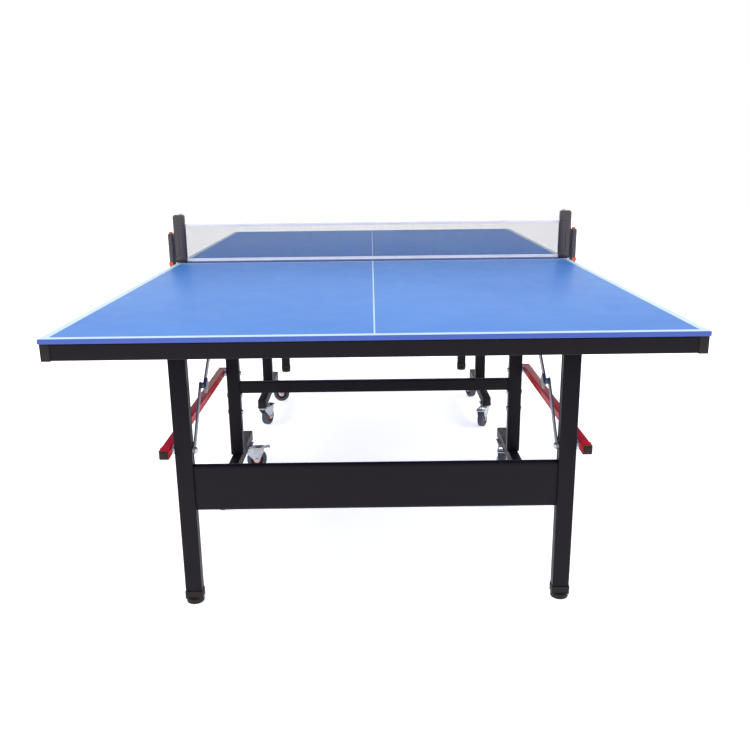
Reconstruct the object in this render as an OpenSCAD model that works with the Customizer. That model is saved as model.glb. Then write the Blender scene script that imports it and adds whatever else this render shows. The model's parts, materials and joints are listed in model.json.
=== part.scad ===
// Folding ping pong table: two rolling halves with a net set.
// X runs across the table, Y along its length, Z up.
// The origin is on the floor, under the middle of the table.
// Every half is drawn for the far side (+Y) and mirrored for the near side (-Y).

/* [Playing surface] */
// Length of the whole table
table_l = 2740; // [2280:10:3290]
// Width of the table
table_w = 1525; // [1270:5:1830]
// Height of the playing surface
table_h = 760; // [680:5:912]
// Thickness of the panels
panel_t = 12; // [10:0.5:20]
// Gap between the two panels at the net
seam_gap = 12; // [12:1:30]

/* [Apron] */
// Height of the apron tube
apron_h = 40; // [30:1:60]
// Width of the apron tube
apron_w = 20; // [15:1:30]
// How far the apron stands back from the panel's edge
apron_inset = 3; // [2.5:0.5:8]
// Wall of the apron tube
apron_wall = 2; // [1:0.5:3]
// Length of a corner cap along each side
cap_l = 2; // [2:1:40]

/* [Legs and posts] */
// Width of the leg and post tube, across the table
tube_w = 44; // [38:1:54]
// Depth of the leg and post tube, along the table
tube_d = 30; // [25:1:36]
// Wall of the leg and post tube
tube_wall = 2; // [1.5:0.5:3]
// Radius of the tubes' long edges
edge_r = 3; // [2.5:0.5:5]
// Distance between the centres of the left and right tubes
track_w = 980; // [820:2:1170]
// Distance from the net to the posts
post_y = 445; // [400:5:535]
// Distance from the table's end to the legs
leg_inset = 165; // [140:5:200]
// Height of the red links
link_z = 430; // [360:5:520]
// Width and height of a link tube
link_w = 25; // [20:1:30]
// Distance that a link reaches past the leg's pivot
link_tail = 32; // [25:1:40]
// Height of the cross panel between the legs
board_h = 126; // [105:1:150]
// Thickness of the cross panel
board_t = 22; // [16:1:26]
// Height of the cross panel's lower edge
board_z = 265; // [200:1:266]
// Height of a foot cap
foot_h = 34; // [30:1:48]
// Height of the round sole under a foot cap
sole_h = 14; // [10:1:18]

/* [Pivots] */
// Diameter of the hinge pins at the top of legs and posts
pin_d = 12; // [10:0.5:14]
// Diameter of the bolts of links and stays
bolt_d = 10; // [8:0.5:12]
// Running clearance of a pivot, on the radius
pivot_gap = 0.05; // [0.03:0.01:0.1]
// Side gap between faces that pass each other
side_gap = 0.3; // [0.3:0.1:0.6]
// Thickness of a hinge ear
ear_t = 3; // [2.5:0.5:3.5]

/* [Folding stays] */
// Distance from the leg's hinge to the stay's upper pivot
stay_reach = 285; // [270:1:287]
// Thickness of a stay link
stay_t = 4; // [3:0.5:4.5]
// Width of a stay link
stay_w = 20; // [16:1:22]
// Length that the unfolded stay has to spare
stay_slack = 2.4; // [2:0.1:4]

/* [Trolley] */
// Width of a base beam
beam_w = 34; // [28:1:40]
// Height of a base beam
beam_h = 38; // [30:1:46]
// Length of a base beam
beam_l = 480; // [420:5:560]
// Distance between the two casters of a beam
caster_pitch = 390; // [330:5:460]
// Height of the crossbar's lower edge
crossbar_z = 360; // [300:5:390]
// Height of the crossbar
crossbar_h = 40; // [30:1:50]
// Depth of the crossbar
crossbar_d = 24; // [18:1:26]

/* [Casters] */
// Diameter of a wheel
wheel_d = 75; // [62:1:78]
// Width of a wheel
wheel_w = 25; // [20:1:28]
// Overall height of a caster
caster_h = 97; // [94:1:120]
// Distance from the swivel axis back to the axle
trail = 36; // [30:1:43]
// Diameter of the axle
axle_d = 8; // [6:0.5:10]
// Diameter of the king pin
king_d = 10; // [8:0.5:12]

/* [Net set] */
// Height of the net above the playing surface
net_h = 152.5; // [130:0.5:183]
// Thickness of the mesh
mesh_t = 2; // [1.5:0.5:4]
// Height of the white top tape
tape_h = 12; // [10:1:16]
// Thickness of the white tapes
tape_t = 5; // [4:0.5:8]
// Width of a net post
net_post_w = 44; // [36:1:50]
// Depth of a net post, along the table
net_post_d = 36; // [30:1:38]
// Height of a net post above the playing surface
net_post_h = 190; // [165:1:225]
// Height of the outer housing above the playing surface
housing_h = 116; // [96:1:140]
// Thickness of the outer housing
housing_t = 18; // [14:1:22]
// Travel of the release button
button_travel = 4; // [3:0.5:5]

/* [Hidden] */
$fn = 48;
eps = 0.5;

// Colours
blue = [0.10, 0.24, 0.62];
black = [0.13, 0.13, 0.14];
red = [0.72, 0.02, 0.05];
zinc = [0.70, 0.71, 0.72];
grey = [0.42, 0.43, 0.45];
orange = [0.85, 0.33, 0.14];
white = [0.93, 0.93, 0.95];

// Levels
half_l = table_l / 2;
seam_y = seam_gap / 2;
panel_z = table_h - panel_t;
apron_z = panel_z - apron_h;
fold_gap = 2;
hinge_z = apron_z - tube_d / 2 - fold_gap;
tube_top = 12;
foot_floor = 20;
leg_y = half_l - leg_inset;

// Lanes across the table, measured from the table's middle line
tube_x = track_w / 2;
tube_in = tube_x - tube_w / 2;
tube_out = tube_x + tube_w / 2;
ear_in = tube_in - side_gap - ear_t;
ear_out = tube_out + side_gap;
rivet_h = 4;
link_in = ear_out + ear_t + rivet_h + 1.7;
washer_t = 2;
stay_low_in = tube_in - washer_t - stay_t;
nut_h = 5.7;
stay_up_in = stay_low_in - nut_h - 1.3 - stay_t;
bracket_t = 6;
bracket_in = stay_up_in - washer_t - bracket_t;
head_r = 8;

// Hinge rails
rail_in = ear_in;
rail_w = ear_out + ear_t - ear_in;
rail_h = panel_z - hinge_z - tube_top - 18;
rail_z = panel_z - rail_h;
rail_wall = 2;
ear_r = 17;

// Folding stay, worked out in the plane of the stay
stay_drop = hinge_z - link_z;
stay_span = sqrt(pow(stay_drop, 2) + pow(stay_reach, 2));
stay_up_l = (stay_span + stay_slack + stay_reach - stay_drop) / 2;
stay_low_l = (stay_span + stay_slack - stay_reach + stay_drop) / 2;
stay_cos = (pow(stay_up_l, 2) + pow(stay_span, 2) - pow(stay_low_l, 2)) / (2 * stay_up_l * stay_span);
stay_bend = acos(stay_cos);
stay_up_angle = stay_bend - atan(stay_drop / stay_reach);
stay_y = leg_y - stay_reach;
elbow_y = stay_y + stay_up_l * cos(stay_up_angle);
elbow_z = hinge_z + stay_up_l * sin(stay_up_angle);

// Trolley
beam_z = caster_h;
beam_top = beam_z + beam_h;
plate_t = 3;
race_h = 8;
race_d = 40;
race_gap = 0.5;
crown_t = 3;
crown_z = caster_h - plate_t - race_h - race_gap - crown_t;
cheek_t = 2.5;
wheel_side_gap = 2;
cheek_in = wheel_w / 2 + wheel_side_gap;
wheel_r = wheel_d / 2;

// Net set
net_y = -(seam_y + net_post_d / 2 + 2);
net_pivot_z = table_h + net_post_d / 2 + 4;
post_out = table_w / 2 - 2.5;
post_in = post_out - net_post_w;
housing_in = table_w / 2 + 0.5;
net_pin_d = 8;
button_w = 11;
button_l = 18;
button_sunk = 8;
button_x = housing_in + (housing_t - button_w) / 2;
bottom_tape_z = table_h + 8;
button_h = 7;
button_gap = 0.3;

// Brake pedal's rivet, in the caster's own frame
brake_x = trail + 22;
brake_z = crown_z - 6;
brake_rivet_d = 5;

// ---------- Shared shapes ----------

// Two copies, right and left
module both_sides() {
    children();
    mirror([1, 0, 0]) children();
}

// A rod along X from x0 to x1 through the point (y, z)
module rod_x(x0, x1, y, z, d, sides = 48) {
    translate([x0, y, z]) rotate([0, 90, 0]) cylinder(h = x1 - x0, d = d, $fn = sides);
}

// A rectangle with round corners, drawn from its lowest corner
module round_rect(w, h, r) {
    translate([r, 0]) square([w - 2 * r, h]);
    translate([0, r]) square([w, h - 2 * r]);
    for (x = [r, w - r], y = [r, h - r]) {
        translate([x, y]) circle(r, $fn = 32);
    }
}

// The wall of a rectangular tube, cut across
module tube_section(w, h, wall, r) {
    difference() {
        round_rect(w, h, r);
        translate([wall, wall]) round_rect(w - 2 * wall, h - 2 * wall, max(r - wall, 0.5));
    }
}

// A rectangular tube with open ends, drawn from its lowest corner; axis is 0, 1 or 2
module box_tube(size, wall, axis) {
    if (axis == 0) {
        rotate([90, 0, 90]) linear_extrude(size[0]) tube_section(size[1], size[2], wall, edge_r);
    }
    if (axis == 1) {
        translate([0, size[1], 0]) rotate([90, 0, 0]) {
            linear_extrude(size[1]) tube_section(size[0], size[2], wall, edge_r);
        }
    }
    if (axis == 2) {
        linear_extrude(size[2]) tube_section(size[0], size[1], wall, edge_r);
    }
}

// A solid plug with a tube's outline, along Y, drawn from its lowest corner
module plug_y(w, l, h, r) {
    translate([0, l, 0]) rotate([90, 0, 0]) linear_extrude(l) round_rect(w, h, r);
}

// A flat bar with round ends in the plane of the stay, from (y0, z0) along angle a
module stay_bar(x0, y0, z0, a, l, holes) {
    translate([x0, y0, z0]) rotate([a, 0, 0]) difference() {
        union() {
            translate([0, 0, -stay_w / 2]) cube([stay_t, l, stay_w]);
            rod_x(0, stay_t, 0, 0, stay_w);
            rod_x(0, stay_t, l, 0, stay_w);
        }
        for (at = holes) {
            rod_x(-eps, stay_t + eps, at, 0, bolt_d + 2 * pivot_gap);
        }
    }
}

// A box with four long edges rounded, along X, centred on y
module rounded_bar(x0, x1, y, z0, d, h, r) {
    translate([x0, y - d / 2, z0]) rotate([90, 0, 90]) linear_extrude(x1 - x0) round_rect(d, h, r);
}

// ---------- Top: panel, apron, hinge rails ----------

module top_panel() {
    color(blue) translate([-table_w / 2, seam_y, panel_z]) {
        linear_extrude(panel_t) round_rect(table_w, half_l - seam_y, 4);
    }
}

// Side tubes run past the end tubes; the outer corners stop short for the caps
module apron() {
    side_x = table_w / 2 - apron_inset - apron_w;
    y0 = seam_y + apron_inset;
    y1 = half_l - apron_inset;
    color(black) {
        both_sides() translate([side_x, y0, apron_z]) {
            box_tube([apron_w, y1 - y0 - apron_w, apron_h], apron_wall, 1);
        }
        for (y = [y0, y1 - apron_w]) {
            translate([-side_x, y, apron_z]) box_tube([2 * side_x, apron_w, apron_h], apron_wall, 0);
        }
    }
}

// Plastic corners that fill and wrap the apron's outer corners
module corner_caps() {
    xo = table_w / 2 - apron_inset;
    yo = half_l - apron_inset;
    skin = 1;
    reach = apron_w + cap_l;
    r = 4;
    color(black) both_sides() difference() {
        translate([xo - reach, yo - reach, apron_z - skin]) linear_extrude(apron_h + skin) {
            square([reach + skin - r, reach + skin]);
            square([reach + skin, reach + skin - r]);
            translate([reach + skin - r, reach + skin - r]) circle(r);
        }
        translate([xo - reach - eps, yo - reach - eps, apron_z]) {
            cube([reach + eps, cap_l + eps, apron_h + eps]);
            cube([cap_l + eps, reach + eps, apron_h + eps]);
        }
        translate([xo - reach - eps, yo - reach - eps, apron_z - skin - eps]) {
            cube([cap_l + eps, cap_l + eps, apron_h + skin + 2 * eps]);
        }
    }
}

// An ear that hangs from a hinge rail and takes a pin at (y, hinge_z)
module ear(x0, y) {
    difference() {
        union() {
            translate([x0, y - ear_r, hinge_z]) cube([ear_t, 2 * ear_r, rail_z + 2 * edge_r - hinge_z]);
            rod_x(x0, x0 + ear_t, y, hinge_z, 2 * ear_r);
        }
        rod_x(x0 - eps, x0 + ear_t + eps, y, hinge_z, pin_d);
    }
}

// Tab that carries the stay's upper pivot
module stay_tab() {
    tab_r = 12;
    flange_t = 8;
    flange_z = rail_z + edge_r;
    difference() {
        union() {
            translate([bracket_in, stay_y - tab_r, flange_z]) {
                cube([rail_in + rail_wall / 2 - bracket_in, 2 * tab_r, flange_t]);
            }
            translate([bracket_in, stay_y - tab_r, hinge_z]) {
                cube([bracket_t, 2 * tab_r, flange_z - hinge_z]);
            }
            rod_x(bracket_in, bracket_in + bracket_t, stay_y, hinge_z, 2 * tab_r);
        }
        rod_x(bracket_in - eps, bracket_in + bracket_t + eps, stay_y, hinge_z, bolt_d);
    }
}

module hinge_rails() {
    y0 = seam_y + apron_inset + apron_w;
    y1 = half_l - apron_inset - apron_w;
    color(black) both_sides() union() {
        translate([rail_in, y0, rail_z]) box_tube([rail_w, y1 - y0, rail_h], rail_wall, 1);
        for (y = [post_y, leg_y], x0 = [ear_in, ear_out]) {
            ear(x0, y);
        }
        stay_tab();
    }
}

// Rivets of the top hinges and of the stays' upper pivots
module hinge_rivets() {
    color(zinc) both_sides() {
        for (y = [post_y, leg_y]) {
            rod_x(ear_in - rivet_h, ear_in, y, hinge_z, pin_d + 8);
            rod_x(ear_in - eps, ear_out + ear_t + eps, y, hinge_z, pin_d);
            rod_x(ear_out + ear_t, ear_out + ear_t + rivet_h, y, hinge_z, pin_d + 8);
        }
        rod_x(bracket_in - 5, bracket_in, stay_y, hinge_z, 2 * head_r, 6);
        rod_x(bracket_in - eps, stay_up_in + stay_t + eps, stay_y, hinge_z, bolt_d);
        rod_x(bracket_in + bracket_t, stay_up_in - side_gap, stay_y, hinge_z, 2 * head_r);
        rod_x(stay_up_in + stay_t + side_gap, stay_low_in - 1, stay_y, hinge_z, 2 * head_r);
    }
}

// ---------- End legs ----------

// A standing tube with cross holes at the heights in holes: [height, diameter]
module standing_tube(y, z0, holes) {
    difference() {
        translate([tube_in, y - tube_d / 2, z0]) {
            box_tube([tube_w, tube_d, hinge_z + tube_top - z0], tube_wall, 2);
        }
        for (hole = holes) {
            rod_x(tube_in - eps, tube_out + eps, y, hole[0], hole[1]);
        }
    }
}

module legs() {
    color(black) both_sides() {
        standing_tube(leg_y, foot_floor, [[hinge_z, pin_d + 2 * pivot_gap], [link_z, bolt_d]]);
    }
}

module leg_panel() {
    wall = 2;
    color(black) difference() {
        rounded_bar(-tube_in, tube_in, leg_y, board_z, board_t, board_h, 10);
        translate([0, 0, board_z + wall]) {
            rounded_bar(-tube_in - eps, tube_in + eps, leg_y, 0, board_t - 2 * wall, board_h - 2 * wall, 8);
        }
    }
}

// Sleeve on the tube's end, over a round sole
module foot_caps() {
    wall = 1.5;
    sole_r = tube_w / 2 + wall;
    rim_r = 3;
    color(black) both_sides() difference() {
        union() {
            translate([tube_x, leg_y, 0]) rotate_extrude($fn = 96) {
                square([sole_r - rim_r, sole_h]);
                translate([0, rim_r]) square([sole_r, sole_h - rim_r]);
                translate([sole_r - rim_r, rim_r]) circle(rim_r, $fn = 32);
            }
            translate([tube_in - wall, leg_y - tube_d / 2 - wall, sole_h - 1]) {
                linear_extrude(foot_h - sole_h + 1) {
                    round_rect(tube_w + 2 * wall, tube_d + 2 * wall, edge_r);
                }
            }
        }
        translate([tube_in, leg_y - tube_d / 2, foot_floor]) cube([tube_w, tube_d, foot_h]);
    }
}

// Bolt through link, spacer and tube, with the nut on the inside
module pivot_bolt(y, nut_in, nut_out) {
    link_out = link_in + link_w;
    rod_x(link_out + side_gap, link_out + side_gap + 5, y, link_z, 2 * head_r);
    rod_x(nut_in + 1, link_out + side_gap + 1, y, link_z, bolt_d);
    rod_x(nut_in, nut_out, y, link_z, 2 * head_r, 6);
    rod_x(tube_out, link_in - side_gap, y, link_z, 2 * head_r + 4);
}

module leg_bolts() {
    color(zinc) both_sides() {
        pivot_bolt(leg_y, stay_low_in - nut_h, stay_low_in - side_gap);
        rod_x(stay_low_in + stay_t + side_gap, tube_in, leg_y, link_z, 2 * head_r);
    }
}

// Red tubes with a plug in each end
module links() {
    wall = 2;
    plug = 4;
    y0 = post_y - link_tail;
    y1 = leg_y + link_tail;
    color(red) both_sides() difference() {
        translate([link_in, y0, link_z - link_w / 2]) {
            box_tube([link_w, y1 - y0, link_w], wall, 1);
            for (y = [-plug, y1 - y0]) {
                translate([0, y, 0]) plug_y(link_w, plug, link_w, edge_r);
            }
        }
        for (y = [post_y, leg_y]) {
            rod_x(link_in - eps, link_in + link_w + eps, y, link_z, bolt_d + 2 * pivot_gap);
        }
    }
}

module stay_upper() {
    boss_d = 16;
    tab = [6, 34, 24];
    color(zinc) both_sides() {
        stay_bar(stay_up_in, stay_y, hinge_z, stay_up_angle, stay_up_l, [0]);
        rod_x(stay_up_in + stay_t, stay_low_in - side_gap, elbow_y, elbow_z, boss_d);
        translate([stay_up_in, stay_y, hinge_z]) rotate([stay_up_angle, 0, 0]) {
            translate([-tab[0], stay_up_l - tab[1] / 2, -tab[2] / 2]) cube(tab);
        }
    }
}

module stay_lower() {
    angle = atan2(elbow_z - link_z, elbow_y - leg_y);
    color(zinc) both_sides() stay_bar(stay_low_in, leg_y, link_z, angle, stay_low_l, [0]);
}

// ---------- Trolley ----------

short_bolts = [link_z - 80, link_z - 140];

module posts() {
    holes = [for (z = short_bolts) [z, bolt_d]];
    color(black) both_sides() {
        pivots = [[hinge_z, pin_d + 2 * pivot_gap], [link_z, bolt_d]];
        standing_tube(post_y, beam_top, concat(pivots, holes));
    }
}

module crossbar() {
    color(black) translate([-tube_in, post_y - crossbar_d / 2, crossbar_z]) {
        box_tube([2 * tube_in, crossbar_d, crossbar_h], 2, 0);
    }
}

// Tubes with a plug in each end
module base_beams() {
    plug = 4;
    color(black) both_sides() translate([tube_x - beam_w / 2, post_y - beam_l / 2, beam_z]) {
        box_tube([beam_w, beam_l, beam_h], 2, 1);
        for (y = [-plug, beam_l]) {
            translate([0, y, 0]) plug_y(beam_w, plug, beam_h, edge_r);
        }
    }
}

module post_bolts() {
    color(zinc) both_sides() {
        pivot_bolt(post_y, tube_in - nut_h, tube_in);
        for (z = short_bolts) {
            rod_x(tube_in - nut_h, tube_in, post_y, z, 2 * head_r, 6);
            rod_x(tube_in - 1, tube_out + 1, post_y, z, bolt_d);
            rod_x(tube_out, tube_out + 4, post_y, z, 2 * head_r);
        }
    }
}

// ---------- Casters ----------

caster_ys = [post_y - caster_pitch / 2, post_y + caster_pitch / 2];

// Plate, fixed race and king pin above each fork
module caster_mounts() {
    king_end = 5;
    color(zinc) both_sides() for (y = caster_ys) {
        translate([tube_x - 24, y - 30, caster_h - plate_t]) cube([48, 60, plate_t]);
        translate([tube_x, y, caster_h - plate_t - race_h]) cylinder(h = race_h, d = race_d);
        translate([tube_x, y, crown_z - race_gap - king_end]) {
            cylinder(h = king_end, d = king_d + 6);
            cylinder(h = caster_h - crown_z + race_gap + king_end - plate_t, d = king_d);
        }
    }
}

// Two copies, in front of and behind the wheel's middle plane
module both_cheeks() {
    children();
    mirror([0, 1, 0]) children();
}

// One caster's frame: swivel axis on Z, wheel towards +X
module fork(braked) {
    boss_d = 22;
    nut_h = 4;
    crown_top = crown_z + crown_t;
    front = -race_d / 2 + 6;
    back = braked ? brake_x + 6 : trail + 8;
    color(zinc) difference() {
        union() {
            translate([0, 0, crown_z]) cylinder(h = crown_t, d = race_d + 2);
            translate([front, -cheek_in - cheek_t, crown_z]) {
                cube([trail - 4 - front, 2 * (cheek_in + cheek_t), crown_t]);
            }
            both_cheeks() {
                translate([0, cheek_in + cheek_t, 0]) rotate([90, 0, 0]) linear_extrude(cheek_t) polygon([
                    [front, crown_top],
                    [front, crown_z - 6],
                    [trail - boss_d / 2, wheel_r],
                    [trail + boss_d / 2, wheel_r],
                    [back, brake_z - 6],
                    [back, crown_top - 2],
                    [back - 2, crown_top]
                ]);
                translate([trail, cheek_in + cheek_t, wheel_r]) rotate([90, 0, 0]) {
                    cylinder(h = cheek_t, d = boss_d);
                }
                translate([trail, cheek_in + cheek_t + nut_h, wheel_r]) rotate([90, 0, 0]) {
                    cylinder(h = nut_h, d = 14, $fn = 6);
                    cylinder(h = cheek_in + cheek_t + nut_h, d = axle_d);
                }
                if (braked) {
                    translate([brake_x, cheek_in + cheek_t + 1.5, brake_z]) rotate([90, 0, 0]) {
                        cylinder(h = 1.5, d = brake_rivet_d + 4);
                        cylinder(h = cheek_in + cheek_t + 1.5, d = brake_rivet_d);
                    }
                }
            }
        }
        translate([0, 0, crown_z - eps]) cylinder(h = crown_t + 2 * eps, d = king_d + 2 * pivot_gap);
    }
}

// Hub and tyre of one caster
module wheel() {
    tread_r = 4;
    hub_r = wheel_r * 0.62;
    color(grey) translate([trail, 0, wheel_r]) rotate([90, 0, 0]) rotate_extrude($fn = 96) {
        translate([axle_d / 2 + pivot_gap, -wheel_w / 2 - 1]) square([7, wheel_w + 2]);
        translate([axle_d / 2 + 4, -4]) square([hub_r - axle_d / 2 - 4 + 1, 8]);
        translate([hub_r, -wheel_w / 2]) square([wheel_r - hub_r - tread_r, wheel_w]);
        translate([hub_r, -wheel_w / 2 + tread_r]) square([wheel_r - hub_r, wheel_w - 2 * tread_r]);
        for (s = [-1, 1]) {
            translate([wheel_r - tread_r, s * (wheel_w / 2 - tread_r)]) circle(tread_r, $fn = 32);
        }
    }
}

// Brake pedal behind the fork, hinged on the fork's rear rivet
module brake() {
    width = 2 * (cheek_in - side_gap);
    boss_r = 5;
    reach = 30;
    color(zinc) translate([brake_x, width / 2, brake_z]) rotate([90, 0, 0]) linear_extrude(width) {
        difference() {
            union() {
                circle(boss_r);
                polygon([[-4, 2], [-4, 5], [reach - 7, 10], [reach, 7], [reach, 4], [reach - 7, 7.5]]);
            }
            circle(brake_rivet_d / 2 + pivot_gap);
        }
    }
}

// Places one caster: side is -1 left or 1 right, y is its place along the table, heading turns the wheel
module at_caster(side, y, heading) {
    translate([side * tube_x, y, 0]) rotate([0, 0, heading]) children();
}

inner_y = caster_ys[0];
outer_y = caster_ys[1];

// Headings of the casters as they were left standing
head_near_left_inner = 8;
head_near_left_outer = 150;
head_near_right_inner = 257;
head_near_right_outer = 100;
head_far_left_inner = 70;
head_far_left_outer = 5;
head_far_right_inner = 245;
head_far_right_outer = 110;

module near_left_inner_fork() { at_caster(-1, -inner_y, head_near_left_inner) fork(true); }
module near_left_inner_wheel() { at_caster(-1, -inner_y, head_near_left_inner) wheel(); }
module near_left_inner_brake() { at_caster(-1, -inner_y, head_near_left_inner) brake(); }
module near_left_outer_fork() { at_caster(-1, -outer_y, head_near_left_outer) fork(false); }
module near_left_outer_wheel() { at_caster(-1, -outer_y, head_near_left_outer) wheel(); }
module near_right_inner_fork() { at_caster(1, -inner_y, head_near_right_inner) fork(true); }
module near_right_inner_wheel() { at_caster(1, -inner_y, head_near_right_inner) wheel(); }
module near_right_inner_brake() { at_caster(1, -inner_y, head_near_right_inner) brake(); }
module near_right_outer_fork() { at_caster(1, -outer_y, head_near_right_outer) fork(false); }
module near_right_outer_wheel() { at_caster(1, -outer_y, head_near_right_outer) wheel(); }
module far_left_inner_fork() { at_caster(-1, inner_y, head_far_left_inner) fork(true); }
module far_left_inner_wheel() { at_caster(-1, inner_y, head_far_left_inner) wheel(); }
module far_left_inner_brake() { at_caster(-1, inner_y, head_far_left_inner) brake(); }
module far_left_outer_fork() { at_caster(-1, outer_y, head_far_left_outer) fork(false); }
module far_left_outer_wheel() { at_caster(-1, outer_y, head_far_left_outer) wheel(); }
module far_right_inner_fork() { at_caster(1, inner_y, head_far_right_inner) fork(true); }
module far_right_inner_wheel() { at_caster(1, inner_y, head_far_right_inner) wheel(); }
module far_right_inner_brake() { at_caster(1, inner_y, head_far_right_inner) brake(); }
module far_right_outer_fork() { at_caster(1, outer_y, head_far_right_outer) fork(false); }
module far_right_outer_wheel() { at_caster(1, outer_y, head_far_right_outer) wheel(); }

// ---------- Net set, clamped to the near half ----------

module net_mesh() {
    under_tape = [table_h + 4, bottom_tape_z];
    between_tapes = [bottom_tape_z + tape_h, table_h + net_h - tape_h];
    color(black) for (z = [under_tape, between_tapes]) {
        translate([-post_in, net_y - mesh_t / 2, z[0]]) cube([2 * post_in, mesh_t, z[1] - z[0]]);
    }
}

module net_tape() {
    color(white) for (z = [bottom_tape_z, table_h + net_h - tape_h]) {
        translate([-post_in, net_y - tape_t / 2, z]) cube([2 * post_in, tape_t, tape_h]);
    }
}

// Posts that turn on the housings' pins
module net_posts() {
    top = table_h + net_post_h;
    pin_reach = 22;
    knob_d = 12;
    color(black) both_sides() difference() {
        union() {
            rod_x(post_in, post_out, net_y, net_pivot_z, net_post_d);
            translate([0, net_y + net_post_d / 2, 0]) rotate([90, 0, 0]) {
                linear_extrude(net_post_d) polygon([
                    [post_in, net_pivot_z],
                    [post_in, top - 12],
                    [post_in + 8, top - 4],
                    [post_out - 10, top - 4],
                    [post_out, top - 16],
                    [post_out, net_pivot_z]
                ]);
            }
            translate([post_in + 14, net_y, top - 5]) cylinder(h = 5, d = knob_d);
        }
        rod_x(post_out - pin_reach - 1, post_out + eps, net_y, net_pivot_z, net_pin_d + 2 * pivot_gap);
    }
}

// Housings fixed to the apron of the near half, with the pins that the posts turn on
module net_housings() {
    depth = net_post_d + 4;
    y0 = net_y - depth / 2 - 2;
    top = table_h + housing_h;
    pin_reach = 22;
    button_y = net_y - 2;
    well = button_sunk + button_travel + 1;
    color(black) both_sides() difference() {
        union() {
            translate([housing_in, y0, apron_z - 4]) cube([housing_t, depth, top - apron_z + 4]);
            translate([table_w / 2 - apron_inset, y0 + 2, apron_z + 2]) {
                cube([apron_inset + 1, depth - 4, apron_h - 4]);
            }
            rod_x(post_out - pin_reach, housing_in + 1, net_y, net_pivot_z, net_pin_d);
        }
        translate([button_x - button_gap, button_y - button_l / 2 - button_gap, top - well]) {
            cube([button_w + 2 * button_gap, button_l + 2 * button_gap, well + eps]);
        }
    }
}

// Release button in the top of a housing
module net_button() {
    top = table_h + housing_h;
    color(orange) translate([button_x, net_y - 2 - button_l / 2, top - button_sunk]) {
        cube([button_w, button_l, button_sunk + button_h]);
    }
}

// ---------- Nodes ----------

// The near half is the far half's mirror image
module near() {
    mirror([0, 1, 0]) children();
}

module near_top_panel() { near() top_panel(); }
module near_apron() { near() apron(); }
module near_hinge_rails() { near() hinge_rails(); }
module near_corner_caps() { near() corner_caps(); }
module near_hinge_rivets() { near() hinge_rivets(); }
module near_legs() { near() legs(); }
module near_leg_panel() { near() leg_panel(); }
module near_foot_caps() { near() foot_caps(); }
module near_leg_bolts() { near() leg_bolts(); }
module near_links() { near() links(); }
module near_stay_upper() { near() stay_upper(); }
module near_stay_lower() { near() stay_lower(); }
module near_posts() { near() posts(); }
module near_crossbar() { near() crossbar(); }
module near_base_beams() { near() base_beams(); }
module near_post_bolts() { near() post_bolts(); }
module near_caster_mounts() { near() caster_mounts(); }
module far_top_panel() { top_panel(); }
module far_apron() { apron(); }
module far_hinge_rails() { hinge_rails(); }
module far_corner_caps() { corner_caps(); }
module far_hinge_rivets() { hinge_rivets(); }
module far_legs() { legs(); }
module far_leg_panel() { leg_panel(); }
module far_foot_caps() { foot_caps(); }
module far_leg_bolts() { leg_bolts(); }
module far_links() { links(); }
module far_stay_upper() { stay_upper(); }
module far_stay_lower() { stay_lower(); }
module far_posts() { posts(); }
module far_crossbar() { crossbar(); }
module far_base_beams() { base_beams(); }
module far_post_bolts() { post_bolts(); }
module far_caster_mounts() { caster_mounts(); }
module net_button_left() { mirror([1, 0, 0]) net_button(); }
module net_button_right() { net_button(); }

near_top_panel();
near_apron();
near_hinge_rails();
near_corner_caps();
near_hinge_rivets();
near_legs();
near_leg_panel();
near_foot_caps();
near_leg_bolts();
near_links();
near_stay_upper();
near_stay_lower();
near_posts();
near_crossbar();
near_base_beams();
near_post_bolts();
near_caster_mounts();
far_top_panel();
far_apron();
far_hinge_rails();
far_corner_caps();
far_hinge_rivets();
far_legs();
far_leg_panel();
far_foot_caps();
far_leg_bolts();
far_links();
far_stay_upper();
far_stay_lower();
far_posts();
far_crossbar();
far_base_beams();
far_post_bolts();
far_caster_mounts();
near_left_inner_fork();
near_left_inner_wheel();
near_left_inner_brake();
near_left_outer_fork();
near_left_outer_wheel();
near_right_inner_fork();
near_right_inner_wheel();
near_right_inner_brake();
near_right_outer_fork();
near_right_outer_wheel();
far_left_inner_fork();
far_left_inner_wheel();
far_left_inner_brake();
far_left_outer_fork();
far_left_outer_wheel();
far_right_inner_fork();
far_right_inner_wheel();
far_right_inner_brake();
far_right_outer_fork();
far_right_outer_wheel();
net_mesh();
net_tape();
net_posts();
net_housings();
net_button_left();
net_button_right();
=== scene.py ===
import json
import math

import bmesh
import bpy
from mathutils import Matrix, Vector


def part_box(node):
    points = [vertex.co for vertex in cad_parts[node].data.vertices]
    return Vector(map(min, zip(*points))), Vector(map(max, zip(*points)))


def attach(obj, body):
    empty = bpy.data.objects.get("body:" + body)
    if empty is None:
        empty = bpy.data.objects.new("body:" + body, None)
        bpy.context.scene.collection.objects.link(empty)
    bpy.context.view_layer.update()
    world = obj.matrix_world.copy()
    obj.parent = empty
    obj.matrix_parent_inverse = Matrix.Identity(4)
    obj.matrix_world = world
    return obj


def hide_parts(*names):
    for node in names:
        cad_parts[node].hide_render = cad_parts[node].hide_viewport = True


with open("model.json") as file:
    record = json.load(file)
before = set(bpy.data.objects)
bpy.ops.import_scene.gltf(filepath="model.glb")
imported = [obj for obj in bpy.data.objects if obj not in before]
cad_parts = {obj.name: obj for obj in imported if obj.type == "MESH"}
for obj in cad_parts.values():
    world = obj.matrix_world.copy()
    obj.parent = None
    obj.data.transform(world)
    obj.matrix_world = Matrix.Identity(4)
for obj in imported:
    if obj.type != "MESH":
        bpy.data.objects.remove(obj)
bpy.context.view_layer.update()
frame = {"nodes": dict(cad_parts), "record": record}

MM = 0.001
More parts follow.
